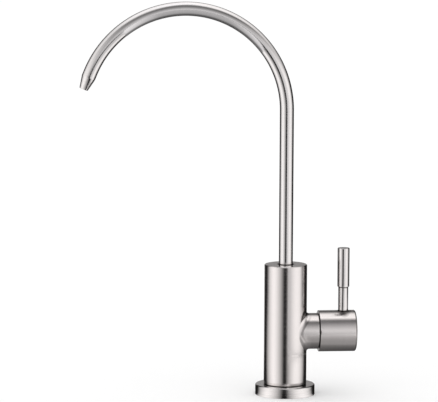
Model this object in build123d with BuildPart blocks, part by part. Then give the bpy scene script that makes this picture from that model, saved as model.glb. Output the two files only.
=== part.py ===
from build123d import *
import os

os.makedirs("parts", exist_ok=True)

# A deck-mounted drinking water filter tap in millimetres. The origin is the centre of
# the deck face under the flange, +Z is up, the valve points along +X, and the spout
# arches over towards -X. Everything is symmetric about the XZ plane.

# General fits. The overrun carries a cut past the face that it opens.
overrun = 4.0
fixed_clearance = 0.02
running_clearance = 0.05
seat_gap = 0.3
moving_gap = 0.4
edge_chamfer = 0.4

# Deck flange: a turned disc with an underside recess for the inlet socket's head.
flange_radius = 22.3
flange_height = 7.9
flange_chamfer = 0.55
gasket_inner_radius = 14.0
gasket_outer_radius = 20.4
gasket_thickness = 1.6

# Inlet socket: the brass insert that clamps flange and body together from below and
# takes the threaded shank when the tap is fitted to a deck.
socket_head_radius = 12.6
socket_head_height = 3.4
socket_shank_radius = 9.0
socket_shank_length = 16.0
inlet_thread_radius = 5.46
inlet_thread_length = 14.0
inlet_passage_radius = 4.0
inlet_ring_groove_depth = 1.3
inlet_ring_groove_width = 2.1
inlet_ring_end_distance = 3.0

# Body: one turned and polished tee, the column and its side collar.
body_radius = 16.0
body_top_height = 98.4
body_top_chamfer = 0.5
collar_radius = 13.45
collar_end_distance = 24.4
collar_blend_radius = 1.8
valve_height = 47.6

# Spout socket in the top of the column, and the drilled way from the valve chamber.
mouth_radius = 6.15
spigot_length = 22.0
spigot_top_depth = 3.5
spout_washer_thickness = 1.0
spout_washer_inner_radius = 3.7
outlet_drill_radius = 2.4
outlet_drill_reach_length = 10.5

# Spout: a bent tube brazed into a turned spigot.
tube_radius = 5.25
tube_wall_thickness = 0.8
arc_radius = 76.0
arc_height = 214.0
arc_sweep_angle = 157.5
tip_straight_length = 4.0
tip_cone_length = 9.5
tip_radius = 3.3
tip_lip_radius = 0.25
tube_socket_depth = 8.0
spigot_bore_radius = 3.5
spigot_groove_width = 3.0
spigot_groove_depth = 1.5
spigot_land_width = 1.5
spout_ring_groove_width = 2.1
spout_ring_groove_depth = 1.4
mouth_ring_height = 2.4

# Grub screws, the same size for the spout's and the hub's.
grub_radius = 2.0
grub_dog_radius = 1.15
grub_dog_length = 1.8
grub_recess_depth = 0.6
hex_key_width = 2.0
hex_key_depth = 2.0
hex_sides = 6

# Valve chamber and cartridge, counted along the valve axis from the column's centre.
seat_distance = 6.0
chamber_radius = 10.0
housing_nose_radius = 8.8
housing_nose_length = 11.4
housing_bore_radius = 7.6
housing_hex_width = 21.0
housing_hex_length = 5.0
turret_radius = 7.0
turret_length = 6.0
fibre_washer_thickness = 0.8
fibre_washer_radius = 12.2
housing_window_width = 8.0
seal_thickness = 1.5
seal_inner_radius = 4.0
disc_thickness = 3.0
disc_port_radius = 1.8
disc_port_offset = 3.7
drive_slot_width = 2.6
drive_slot_depth = 1.4
head_bar_width = 3.4
head_bar_length = 3.1
head_disc_length = 2.0
thrust_washer_thickness = 0.8
spindle_radius = 4.5
spindle_ring_groove_width = 2.0
spindle_ring_groove_depth = 1.3
spindle_ring_spacing = 5.0
circlip_thickness = 0.8
circlip_radius = 6.2
circlip_gap_width = 4.5
circlip_groove_depth = 0.6
spline_root_radius = 3.5
spline_tip_radius = 4.1
spline_length = 8.0
spline_count = 12
spline_tooth_width = 0.9

# Hub: the turning cap on the side valve, and the lever that stands on it.
hub_radius = 15.45
hub_end_distance = 52.6
hub_chamfer = 0.7
hub_wall_thickness = 2.3
hub_cavity_distance = 38.6
adapter_radius = 6.0
adapter_length = 8.6
lever_distance = 43.5
stem_radius = 3.75
grip_radius = 4.5
grip_start_height = 81.0
lever_top_height = 110.3
lever_shoulder_radius = 0.65
lever_top_radius = 0.5
lever_pocket_depth = 1.3
lever_foot_radius = 2.5
lever_foot_length = 6.0

# Places worked out from the sizes above.
spigot_radius = mouth_radius - running_clearance
spigot_top = body_top_height - spigot_top_depth
spigot_foot = spigot_top - spigot_length
socket_floor = spigot_foot - spout_washer_thickness
tube_foot = spigot_top - tube_socket_depth
retaining_height = tube_foot - spigot_land_width - spigot_groove_width / 2
upper_groove_top = retaining_height - spigot_groove_width / 2 - spigot_land_width
upper_ring_height = upper_groove_top - spout_ring_groove_width / 2
lower_ring_height = upper_ring_height - spigot_land_width - spout_ring_groove_width
inlet_socket_top = socket_head_height + socket_shank_length
inlet_ring_height = inlet_socket_top - inlet_ring_end_distance

housing_start = seat_distance + seat_gap
housing_nose_end = housing_start + housing_nose_length
fixed_disc_start = seat_distance + seal_thickness
moving_disc_start = fixed_disc_start + disc_thickness
moving_disc_end = moving_disc_start + disc_thickness
head_disc_start = moving_disc_end + head_bar_length
head_end = head_disc_start + head_disc_length
housing_shoulder = head_end + thrust_washer_thickness
hex_start = collar_end_distance + fibre_washer_thickness
turret_start = hex_start + housing_hex_length
turret_end = turret_start + turret_length
circlip_start = turret_end + running_clearance
spline_start = circlip_start + circlip_thickness + edge_chamfer
spline_end = spline_start + spline_length
inner_ring_place = (housing_shoulder + turret_end - spindle_ring_spacing) / 2
outer_ring_place = inner_ring_place + spindle_ring_spacing
hub_start = collar_end_distance + moving_gap
hub_bore_end = hub_cavity_distance + adapter_length + edge_chamfer
hub_cavity_radius = hub_radius - hub_wall_thickness
hub_crest = valve_height + hub_radius
lever_seat = hub_crest - lever_pocket_depth

# Frames: one looking along the valve axis, one along the rear grub screw.
valve_frame = Plane(origin=(0, 0, valve_height), x_dir=(0, 1, 0), z_dir=(1, 0, 0))
rear_frame = Plane(origin=(0, 0, retaining_height), x_dir=(1, 0, 0), z_dir=(0, 1, 0))
under_frame = Plane(origin=(lever_distance, 0, valve_height), x_dir=(1, 0, 0), z_dir=(0, 0, -1))


def ring_groove_floor(shaft_radius, groove_depth):
    """Radius at the bottom of a groove turned into a shaft."""
    return shaft_radius - groove_depth


def o_ring_radii(shaft_radius, groove_depth, bore_radius):
    """Centre-line radius and cord radius of an O-ring that fills the space between the
    groove's floor and the bore around it, a running fit short on both sides."""
    inner = ring_groove_floor(shaft_radius, groove_depth) + fixed_clearance
    outer = bore_radius - running_clearance
    return (inner + outer) / 2, (outer - inner) / 2


# Deck flange, with its socket recess, its gasket groove and the hole for the socket.
with BuildPart() as deck_flange:
    with BuildSketch(Plane.XY):
        Circle(flange_radius)
    extrude(amount=flange_height)
    chamfer(deck_flange.faces().sort_by(Axis.Z)[-1].edges(), length=flange_chamfer)
    with BuildSketch(Plane.XY.offset(-overrun)):
        Circle(socket_shank_radius + fixed_clearance)
    extrude(amount=flange_height + 2 * overrun, mode=Mode.SUBTRACT)
    with BuildSketch(Plane.XY.offset(-overrun)):
        Circle(socket_head_radius + fixed_clearance)
    extrude(amount=overrun + socket_head_height, mode=Mode.SUBTRACT)
    with BuildSketch(Plane.XY.offset(-overrun)):
        Circle(gasket_outer_radius + fixed_clearance)
        Circle(gasket_inner_radius - fixed_clearance, mode=Mode.SUBTRACT)
    extrude(amount=overrun + gasket_thickness, mode=Mode.SUBTRACT)
deck_flange.part.label = "deck_flange"
export_step(deck_flange.part, "parts/deck_flange.step")

# Rubber gasket, drawn at its clamped thickness, flush with the flange's underside.
with BuildPart() as deck_gasket:
    with BuildSketch(Plane.XY):
        Circle(gasket_outer_radius)
        Circle(gasket_inner_radius, mode=Mode.SUBTRACT)
    extrude(amount=gasket_thickness)
deck_gasket.part.label = "deck_gasket"
export_step(deck_gasket.part, "parts/deck_gasket.step")

# Inlet socket: head, threaded shank, inner thread for the shank kit, waterway, O-ring groove.
with BuildPart() as inlet_socket:
    with BuildSketch(Plane.XY):
        Circle(socket_head_radius)
    extrude(amount=socket_head_height)
    with BuildSketch(Plane.XY.offset(socket_head_height)):
        Circle(socket_shank_radius)
    extrude(amount=socket_shank_length)
    chamfer(inlet_socket.faces().sort_by(Axis.Z)[-1].edges(), length=edge_chamfer)
    with BuildSketch(Plane.XY.offset(-overrun)):
        Circle(inlet_passage_radius)
    extrude(amount=inlet_socket_top + 2 * overrun, mode=Mode.SUBTRACT)
    with BuildSketch(Plane.XY.offset(-overrun)):
        Circle(inlet_thread_radius)
    extrude(amount=overrun + inlet_thread_length, mode=Mode.SUBTRACT)
    with BuildSketch(Plane.XY.offset(inlet_ring_height - inlet_ring_groove_width / 2)):
        Circle(socket_shank_radius + overrun)
        Circle(ring_groove_floor(socket_shank_radius, inlet_ring_groove_depth), mode=Mode.SUBTRACT)
    extrude(amount=inlet_ring_groove_width, mode=Mode.SUBTRACT)
inlet_socket.part.label = "inlet_socket"
export_step(inlet_socket.part, "parts/inlet_socket.step")

# O-ring that seals the inlet socket in the body.
inlet_ring_centre, inlet_ring_cord = o_ring_radii(
    socket_shank_radius, inlet_ring_groove_depth, socket_shank_radius + running_clearance
)
with BuildPart() as inlet_o_ring:
    with BuildSketch(Plane.XZ):
        with Locations((inlet_ring_centre, inlet_ring_height)):
            Circle(inlet_ring_cord)
    revolve(axis=Axis.Z)
inlet_o_ring.part.label = "inlet_o_ring"
export_step(inlet_o_ring.part, "parts/inlet_o_ring.step")

# Body: column and collar blended together, then bored for inlet, spout, valve and screw.
with BuildPart() as body:
    with BuildSketch(Plane.XY.offset(flange_height)):
        Circle(body_radius)
    extrude(amount=body_top_height - flange_height)
    with BuildSketch(valve_frame):
        Circle(collar_radius)
    extrude(amount=collar_end_distance)
    saddle = body.edges().filter_by(lambda e: e.geom_type not in (GeomType.CIRCLE, GeomType.LINE))
    fillet(saddle, radius=collar_blend_radius)
    chamfer(body.faces().sort_by(Axis.Z)[-1].edges(), length=body_top_chamfer)
    with BuildSketch(Plane.XY.offset(flange_height - overrun)):
        Circle(socket_shank_radius + running_clearance)
    extrude(amount=inlet_socket_top + seat_gap - flange_height + overrun, mode=Mode.SUBTRACT)
    with BuildSketch(Plane.XY.offset(inlet_socket_top)):
        Circle(inlet_passage_radius)
    extrude(amount=valve_height + inlet_passage_radius - inlet_socket_top, mode=Mode.SUBTRACT)
    with BuildSketch(valve_frame):
        Circle(inlet_passage_radius)
    extrude(amount=seat_distance + overrun, mode=Mode.SUBTRACT)
    with BuildSketch(valve_frame.offset(seat_distance)):
        Circle(chamber_radius + fixed_clearance)
    extrude(amount=collar_end_distance - seat_distance + overrun, mode=Mode.SUBTRACT)
    with BuildSketch(Plane.XY.offset(socket_floor)):
        Circle(mouth_radius)
    extrude(amount=body_top_height - socket_floor + overrun, mode=Mode.SUBTRACT)
    # The outlet way is drilled at a slant, from the spout socket down into the chamber.
    drill_from = Vector(0, 0, socket_floor + outlet_drill_radius / 2)
    drill_to = Vector(outlet_drill_reach_length, 0, valve_height + housing_nose_radius)
    drill_plane = Plane(origin=drill_from, z_dir=drill_to - drill_from)
    with BuildSketch(drill_plane):
        Circle(outlet_drill_radius)
    extrude(amount=(drill_to - drill_from).length, mode=Mode.SUBTRACT)
    with BuildSketch(rear_frame):
        Circle(grub_radius + fixed_clearance)
    extrude(amount=body_radius + overrun, mode=Mode.SUBTRACT)
body.part.label = "body"
export_step(body.part, "parts/body.step")

# Spout tube: a straight riser, the gooseneck arc, and a tip swaged down to a cone.
with BuildPart() as spout_tube:
    with BuildLine(Plane.XZ) as spout_route:
        riser = Line((0, tube_foot), (0, arc_height))
        gooseneck = JernArc(riser @ 1, riser % 1, arc_radius, arc_sweep_angle)
        tip_run = PolarLine(gooseneck @ 1, tip_straight_length, direction=gooseneck % 1)
    with BuildSketch(Plane.XY.offset(tube_foot)):
        Circle(tube_radius)
        Circle(tube_radius - tube_wall_thickness, mode=Mode.SUBTRACT)
    sweep(path=spout_route.wires()[0])
    tip_plane = Plane(origin=tip_run @ 1, z_dir=tip_run % 1)
    with BuildSketch(tip_plane):
        Circle(tube_radius)
        Circle(tube_radius - tube_wall_thickness, mode=Mode.SUBTRACT)
    with BuildSketch(tip_plane.offset(tip_cone_length)):
        Circle(tip_radius)
        Circle(tip_radius - tube_wall_thickness, mode=Mode.SUBTRACT)
    loft()
    tip_end = tip_run @ 1 + tip_run % 1 * tip_cone_length
    tip_face = spout_tube.faces().filter_by(GeomType.PLANE).sort_by_distance(tip_end)[0]
    fillet(tip_face.edges(), radius=tip_lip_radius)
spout_tube.part.label = "spout_tube"
export_step(spout_tube.part, "parts/spout_tube.step")

# Spout spigot: takes the tube's foot, turns in the body, is held by a groove and two O-rings.
with BuildPart() as spout_spigot:
    with BuildSketch(Plane.XY.offset(spigot_foot)):
        Circle(spigot_radius)
        Circle(spigot_bore_radius, mode=Mode.SUBTRACT)
    extrude(amount=spigot_length)
    with BuildSketch(Plane.XY.offset(tube_foot)):
        Circle(tube_radius + fixed_clearance)
    extrude(amount=tube_socket_depth + overrun, mode=Mode.SUBTRACT)
    with BuildSketch(Plane.XY.offset(retaining_height - spigot_groove_width / 2)):
        Circle(mouth_radius + overrun)
        Circle(ring_groove_floor(spigot_radius, spigot_groove_depth), mode=Mode.SUBTRACT)
    extrude(amount=spigot_groove_width, mode=Mode.SUBTRACT)
    for height in (upper_ring_height, lower_ring_height):
        with BuildSketch(Plane.XY.offset(height - spout_ring_groove_width / 2)):
            Circle(mouth_radius + overrun)
            Circle(ring_groove_floor(spigot_radius, spout_ring_groove_depth), mode=Mode.SUBTRACT)
        extrude(amount=spout_ring_groove_width, mode=Mode.SUBTRACT)
spout_spigot.part.label = "spout_spigot"
export_step(spout_spigot.part, "parts/spout_spigot.step")

# The two spout O-rings.
spout_ring_centre, spout_ring_cord = o_ring_radii(spigot_radius, spout_ring_groove_depth, mouth_radius)
spout_ring_heights = {"spout_o_ring_upper": upper_ring_height, "spout_o_ring_lower": lower_ring_height}
for ring_name, height in spout_ring_heights.items():
    with BuildPart() as spout_o_ring:
        with BuildSketch(Plane.XZ):
            with Locations((spout_ring_centre, height)):
                Circle(spout_ring_cord)
        revolve(axis=Axis.Z)
    spout_o_ring.part.label = ring_name
    export_step(spout_o_ring.part, f"parts/{ring_name}.step")

# Plain washer that the spigot turns on, at the bottom of the spout socket.
with BuildPart() as spout_washer:
    with BuildSketch(Plane.XY.offset(socket_floor)):
        Circle(mouth_radius - running_clearance)
        Circle(spout_washer_inner_radius, mode=Mode.SUBTRACT)
    extrude(amount=spout_washer_thickness)
spout_washer.part.label = "spout_washer"
export_step(spout_washer.part, "parts/spout_washer.step")

# Dark guide ring in the mouth, between the tube and the body's edge.
with BuildPart() as mouth_ring:
    with BuildSketch(Plane.XY.offset(spigot_top)):
        Circle(mouth_radius - fixed_clearance)
        Circle(tube_radius + running_clearance, mode=Mode.SUBTRACT)
    extrude(amount=mouth_ring_height)
mouth_ring.part.label = "mouth_ring"
export_step(mouth_ring.part, "parts/mouth_ring.step")

# Grub screws: the spout's has a dog point in the spigot's groove, the hub's a flat point.
spout_dog_end = ring_groove_floor(spigot_radius, spigot_groove_depth) + seat_gap
with BuildPart() as spout_grub_screw:
    with BuildSketch(rear_frame.offset(spout_dog_end)):
        Circle(grub_dog_radius)
    extrude(amount=grub_dog_length)
    with BuildSketch(rear_frame.offset(spout_dog_end + grub_dog_length)):
        Circle(grub_radius)
    extrude(amount=body_radius - grub_recess_depth - spout_dog_end - grub_dog_length)
    with BuildSketch(rear_frame.offset(body_radius - grub_recess_depth - hex_key_depth)):
        RegularPolygon(hex_key_width / 2, hex_sides, major_radius=False)
    extrude(amount=hex_key_depth + overrun, mode=Mode.SUBTRACT)
spout_grub_screw.part.label = "spout_grub_screw"
export_step(spout_grub_screw.part, "parts/spout_grub_screw.step")

with BuildPart() as hub_grub_screw:
    with BuildSketch(under_frame.offset(adapter_radius)):
        Circle(grub_radius)
    extrude(amount=hub_radius - grub_recess_depth - adapter_radius)
    with BuildSketch(under_frame.offset(hub_radius - grub_recess_depth - hex_key_depth)):
        RegularPolygon(hex_key_width / 2, hex_sides, major_radius=False)
    extrude(amount=hex_key_depth + overrun, mode=Mode.SUBTRACT)
hub_grub_screw.part.label = "hub_grub_screw"
export_step(hub_grub_screw.part, "parts/hub_grub_screw.step")

# Cartridge housing: nose with two side windows, threaded barrel, hexagon and turret.
with BuildPart() as cartridge_housing:
    with BuildSketch(valve_frame.offset(housing_start)):
        Circle(housing_nose_radius)
    extrude(amount=housing_nose_length)
    with BuildSketch(valve_frame.offset(housing_nose_end)):
        Circle(chamber_radius)
    extrude(amount=hex_start - housing_nose_end)
    with BuildSketch(valve_frame.offset(hex_start)):
        RegularPolygon(housing_hex_width / 2, hex_sides, major_radius=False)
    extrude(amount=housing_hex_length)
    with BuildSketch(valve_frame.offset(turret_start)):
        Circle(turret_radius)
    extrude(amount=turret_length)
    with BuildSketch(valve_frame.offset(housing_start - overrun)):
        Circle(housing_bore_radius)
    extrude(amount=housing_shoulder - housing_start + overrun, mode=Mode.SUBTRACT)
    with BuildSketch(valve_frame.offset(housing_start)):
        Circle(spindle_radius + running_clearance)
    extrude(amount=turret_end - housing_start + overrun, mode=Mode.SUBTRACT)
    with BuildSketch(valve_frame.offset(moving_disc_end)):
        Rectangle(2 * (housing_nose_radius + overrun), housing_window_width)
    extrude(amount=head_bar_length, mode=Mode.SUBTRACT)
cartridge_housing.part.label = "cartridge_housing"
export_step(cartridge_housing.part, "parts/cartridge_housing.step")

# Fibre washer between the collar's face and the housing's hexagon.
with BuildPart() as cartridge_washer:
    with BuildSketch(valve_frame.offset(collar_end_distance)):
        Circle(fibre_washer_radius)
        Circle(chamber_radius + fixed_clearance, mode=Mode.SUBTRACT)
    extrude(amount=fibre_washer_thickness)
cartridge_washer.part.label = "cartridge_washer"
export_step(cartridge_washer.part, "parts/cartridge_washer.step")

# Rubber seat seal between the body's seat and the fixed disc.
with BuildPart() as seat_seal:
    with BuildSketch(valve_frame.offset(seat_distance)):
        Circle(housing_bore_radius - fixed_clearance)
        Circle(seal_inner_radius, mode=Mode.SUBTRACT)
    extrude(amount=seal_thickness)
seat_seal.part.label = "seat_seal"
export_step(seat_seal.part, "parts/seat_seal.step")

# Fixed ceramic disc: its two ports lie level, at either side of the axis.
with BuildPart() as fixed_disc:
    with BuildSketch(valve_frame.offset(fixed_disc_start)):
        Circle(housing_bore_radius - fixed_clearance)
        with Locations((disc_port_offset, 0), (-disc_port_offset, 0)):
            Circle(disc_port_radius, mode=Mode.SUBTRACT)
    extrude(amount=disc_thickness)
fixed_disc.part.label = "fixed_disc"
export_step(fixed_disc.part, "parts/fixed_disc.step")

# Moving ceramic disc: ports above and below the axis at rest, so the tap is shut.
with BuildPart() as moving_disc:
    with BuildSketch(valve_frame.offset(moving_disc_start)):
        Circle(housing_bore_radius - running_clearance)
        with Locations((0, disc_port_offset), (0, -disc_port_offset)):
            Circle(disc_port_radius, mode=Mode.SUBTRACT)
    extrude(amount=disc_thickness)
    with BuildSketch(valve_frame.offset(moving_disc_end - drive_slot_depth)):
        Rectangle(2 * (housing_bore_radius + overrun), drive_slot_width)
    extrude(amount=drive_slot_depth + overrun, mode=Mode.SUBTRACT)
moving_disc.part.label = "moving_disc"
export_step(moving_disc.part, "parts/moving_disc.step")

# Spindle: drive tang, flow bar, head, ringed shaft, circlip groove and splined end.
head_radius = housing_bore_radius - running_clearance
circlip_floor = ring_groove_floor(spindle_radius, circlip_groove_depth)
with BuildPart() as spindle:
    with BuildSketch(valve_frame.offset(moving_disc_end - drive_slot_depth + running_clearance)):
        Circle(head_radius)
        Rectangle(2 * housing_bore_radius, drive_slot_width - 2 * running_clearance, mode=Mode.INTERSECT)
    extrude(amount=drive_slot_depth)
    with BuildSketch(valve_frame.offset(moving_disc_end + running_clearance)):
        Circle(head_radius)
        Rectangle(2 * housing_bore_radius, head_bar_width, mode=Mode.INTERSECT)
    extrude(amount=head_bar_length - running_clearance)
    with BuildSketch(valve_frame.offset(head_disc_start)):
        Circle(head_radius)
    extrude(amount=head_disc_length)
    with BuildSketch(valve_frame.offset(head_end)):
        Circle(spindle_radius)
    extrude(amount=spline_start - head_end)
    with BuildSketch(valve_frame.offset(spline_start)):
        Circle(spline_root_radius)
        with PolarLocations(spline_root_radius, spline_count):
            Rectangle(2 * (spline_tip_radius - spline_root_radius), spline_tooth_width)
    extrude(amount=spline_length)
    for place in (inner_ring_place, outer_ring_place):
        with BuildSketch(valve_frame.offset(place - spindle_ring_groove_width / 2)):
            Circle(spindle_radius + overrun)
            Circle(ring_groove_floor(spindle_radius, spindle_ring_groove_depth), mode=Mode.SUBTRACT)
        extrude(amount=spindle_ring_groove_width, mode=Mode.SUBTRACT)
    with BuildSketch(valve_frame.offset(circlip_start)):
        Circle(spindle_radius + overrun)
        Circle(circlip_floor, mode=Mode.SUBTRACT)
    extrude(amount=circlip_thickness, mode=Mode.SUBTRACT)
spindle.part.label = "spindle"
export_step(spindle.part, "parts/spindle.step")

# The two spindle O-rings.
spindle_ring_centre, spindle_ring_cord = o_ring_radii(
    spindle_radius, spindle_ring_groove_depth, spindle_radius + running_clearance
)
spindle_ring_places = {"spindle_o_ring_inner": inner_ring_place, "spindle_o_ring_outer": outer_ring_place}
for ring_name, place in spindle_ring_places.items():
    with BuildPart() as spindle_o_ring:
        with BuildSketch(Plane.XZ):
            with Locations((place, valve_height + spindle_ring_centre)):
                Circle(spindle_ring_cord)
        revolve(axis=Axis((0, 0, valve_height), (1, 0, 0)))
    spindle_o_ring.part.label = ring_name
    export_step(spindle_o_ring.part, f"parts/{ring_name}.step")

# Plain washer between the spindle's head and the housing's shoulder.
with BuildPart() as spindle_washer:
    with BuildSketch(valve_frame.offset(head_end)):
        Circle(housing_bore_radius - running_clearance)
        Circle(spindle_radius + running_clearance, mode=Mode.SUBTRACT)
    extrude(amount=thrust_washer_thickness)
spindle_washer.part.label = "spindle_washer"
export_step(spindle_washer.part, "parts/spindle_washer.step")

# Circlip that holds the spindle in the turret, a ring with a gap below.
with BuildPart() as spindle_circlip:
    with BuildSketch(valve_frame.offset(circlip_start)):
        Circle(circlip_radius)
        Circle(circlip_floor + fixed_clearance, mode=Mode.SUBTRACT)
        with Locations((0, -circlip_radius)):
            Rectangle(circlip_gap_width, 2 * (circlip_radius - circlip_floor), mode=Mode.SUBTRACT)
    extrude(amount=circlip_thickness)
spindle_circlip.part.label = "spindle_circlip"
export_step(spindle_circlip.part, "parts/spindle_circlip.step")

# Splined adapter, pressed in the hub, that turns the spindle.
with BuildPart() as spline_adapter:
    with BuildSketch(valve_frame.offset(hub_cavity_distance)):
        Circle(adapter_radius - fixed_clearance)
        Circle(spline_root_radius + fixed_clearance, mode=Mode.SUBTRACT)
        with PolarLocations(spline_root_radius, spline_count):
            Rectangle(
                2 * (spline_tip_radius - spline_root_radius + fixed_clearance),
                spline_tooth_width + 2 * fixed_clearance,
                mode=Mode.SUBTRACT,
            )
    extrude(amount=adapter_length)
spline_adapter.part.label = "spline_adapter"
export_step(spline_adapter.part, "parts/spline_adapter.step")

# Hub: a cap over the cartridge's hexagon, solid at its far end where the lever stands.
with BuildPart() as hub:
    with BuildSketch(valve_frame.offset(hub_start)):
        Circle(hub_radius)
    extrude(amount=hub_end_distance - hub_start)
    chamfer(hub.faces().sort_by(Axis.X)[-1].edges(), length=hub_chamfer)
    with BuildSketch(valve_frame.offset(hub_start - overrun)):
        Circle(hub_cavity_radius)
    extrude(amount=hub_cavity_distance - hub_start + overrun, mode=Mode.SUBTRACT)
    with BuildSketch(valve_frame.offset(hub_cavity_distance - overrun)):
        Circle(adapter_radius)
    extrude(amount=hub_bore_end - hub_cavity_distance + overrun, mode=Mode.SUBTRACT)
    with BuildSketch(Plane.XY.offset(lever_seat)):
        with Locations((lever_distance, 0)):
            Circle(stem_radius + fixed_clearance)
    extrude(amount=lever_pocket_depth + overrun, mode=Mode.SUBTRACT)
    with BuildSketch(Plane.XY.offset(lever_seat)):
        with Locations((lever_distance, 0)):
            Circle(lever_foot_radius + fixed_clearance)
    extrude(amount=-(lever_foot_length + seat_gap), mode=Mode.SUBTRACT)
    with BuildSketch(under_frame):
        Circle(grub_radius + fixed_clearance)
    extrude(amount=hub_radius + overrun, mode=Mode.SUBTRACT)
hub.part.label = "hub"
export_step(hub.part, "parts/hub.step")

# Lever: one turned bar, a thin stem with a thicker grip above it.
with BuildPart() as lever:
    with BuildSketch(Plane.XY.offset(lever_seat - lever_foot_length)):
        with Locations((lever_distance, 0)):
            Circle(lever_foot_radius)
    extrude(amount=lever_foot_length)
    with BuildSketch(Plane.XY.offset(lever_seat)):
        with Locations((lever_distance, 0)):
            Circle(stem_radius)
    extrude(amount=grip_start_height - lever_seat)
    with BuildSketch(Plane.XY.offset(grip_start_height)):
        with Locations((lever_distance, 0)):
            Circle(grip_radius)
    extrude(amount=lever_top_height - grip_start_height)
    grip_edges = lever.edges().filter_by(GeomType.CIRCLE).filter_by(lambda e: e.radius == grip_radius)
    fillet(grip_edges.sort_by(Axis.Z)[0], radius=lever_shoulder_radius)
    fillet(lever.edges().sort_by(Axis.Z)[-1], radius=lever_top_radius)
lever.part.label = "lever"
export_step(lever.part, "parts/lever.step")
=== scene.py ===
import bpy
import bmesh
import numpy as np
from mathutils import Matrix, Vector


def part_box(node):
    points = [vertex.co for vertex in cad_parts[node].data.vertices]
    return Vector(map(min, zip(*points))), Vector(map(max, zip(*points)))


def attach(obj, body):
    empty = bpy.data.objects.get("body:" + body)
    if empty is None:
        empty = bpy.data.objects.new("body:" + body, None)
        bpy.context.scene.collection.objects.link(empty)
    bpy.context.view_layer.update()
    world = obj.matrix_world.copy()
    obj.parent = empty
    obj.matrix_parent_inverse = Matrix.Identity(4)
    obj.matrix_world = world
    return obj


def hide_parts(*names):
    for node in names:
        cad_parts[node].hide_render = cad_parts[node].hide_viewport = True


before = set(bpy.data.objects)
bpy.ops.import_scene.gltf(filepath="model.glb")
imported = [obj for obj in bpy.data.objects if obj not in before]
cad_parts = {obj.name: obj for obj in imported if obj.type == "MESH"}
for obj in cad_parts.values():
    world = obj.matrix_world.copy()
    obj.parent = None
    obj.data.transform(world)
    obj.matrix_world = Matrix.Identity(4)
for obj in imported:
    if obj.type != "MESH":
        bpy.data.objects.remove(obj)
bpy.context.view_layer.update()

# The column is one stainless tee, turned on a lathe, with the side collar blended in by a
# rolled fillet, then brushed round its own axis. It is bored for the spout above, for the
# inlet below and for the valve at the side, and a small screw hole is drilled at its back.


def grid_faces(points, lay, offset):
    """Quads of a grid of points: each cell joins a point, its right neighbour, the one
    diagonally beyond, and its upper neighbour. Returns corner indices and corner values
    of lay, the surface's own running measure, in the same order."""
    rows, columns = points.shape[:2]
    index = offset + np.arange(rows * columns).reshape(rows, columns)
    corners = (np.s_[:-1, :-1], np.s_[:-1, 1:], np.s_[1:, 1:], np.s_[1:, :-1])
    quads = np.stack([index[c] for c in corners], axis=-1).reshape(-1, 4)
    values = np.stack([lay[c] for c in corners], axis=-2).reshape(-1, 3)
    return quads, values


def cleaned(mesh, gap=2e-6, sliver=1e-7, sharp_angle=25.0):
    """The mesh with points nearer than gap joined and faces thinner than sliver taken up
    by their neighbours, all normals outward, and smooth shading broken only at edges
    sharper than the given angle."""
    work = bmesh.new()
    work.from_mesh(mesh)
    bmesh.ops.remove_doubles(work, verts=work.verts, dist=gap)
    bmesh.ops.dissolve_degenerate(work, edges=work.edges, dist=sliver)
    bmesh.ops.recalc_face_normals(work, faces=work.faces)
    work.to_mesh(mesh)
    work.free()
    mesh.polygons.foreach_set("use_smooth", np.ones(len(mesh.polygons), dtype=bool))
    mesh.set_sharp_from_angle(angle=np.radians(sharp_angle))


def surface(name, grids):
    """One closed mesh from several grids of points whose borders coincide. Each grid is a
    pair of arrays: the points, and lay, which holds the length along the profile and the
    length round it, in metres, for the brushing to follow."""
    vertices, quads, values, offset = [], [], [], 0
    for points, lay in grids:
        grid_quads, grid_values = grid_faces(points, lay, offset)
        vertices.append(points.reshape(-1, 3))
        quads.append(grid_quads)
        values.append(grid_values)
        offset += points.shape[0] * points.shape[1]
    mesh = bpy.data.meshes.new(name)
    mesh.from_pydata(np.concatenate(vertices).tolist(), [], np.concatenate(quads).tolist())
    attribute = mesh.attributes.new("lay", "FLOAT_VECTOR", "CORNER")
    attribute.data.foreach_set("vector", np.concatenate(values).astype(np.float32).ravel())
    cleaned(mesh)
    piece = bpy.data.objects.new(name, mesh)
    bpy.context.scene.collection.objects.link(piece)
    return piece


def softened(profile, rounding, steps=4):
    """A profile of (along, radius) points whose inner corners are each replaced by a short
    quadratic curve: it leaves the edge a rounding's length before the corner, bends towards
    the corner and meets the next edge as far beyond it."""
    profile = np.asarray(profile, float)
    share = np.linspace(0.0, 1.0, steps)[:, None]
    pieces = [profile[:1]]
    for before, corner, after in zip(profile[:-2], profile[1:-1], profile[2:]):
        back, ahead = before - corner, after - corner
        reach_back = min(rounding, 0.45 * np.linalg.norm(back))
        reach_ahead = min(rounding, 0.45 * np.linalg.norm(ahead))
        start = corner + back / np.linalg.norm(back) * reach_back
        end = corner + ahead / np.linalg.norm(ahead) * reach_ahead
        pieces.append((1 - share) ** 2 * start + 2 * share * (1 - share) * corner + share ** 2 * end)
    pieces.append(profile[-1:])
    return np.concatenate(pieces)


def straight_path(origin, along, across):
    """A straight axis: the centre moves from origin by the given length, and the section
    is spanned by across and by its cross product with the axis."""
    origin, along, across = (np.asarray(v, float) for v in (origin, along, across))
    side = np.cross(along, across)

    def path(length):
        centre = origin + length[:, None] * along
        return centre, np.broadcast_to(across, centre.shape), np.broadcast_to(side, centre.shape)

    return path


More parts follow.
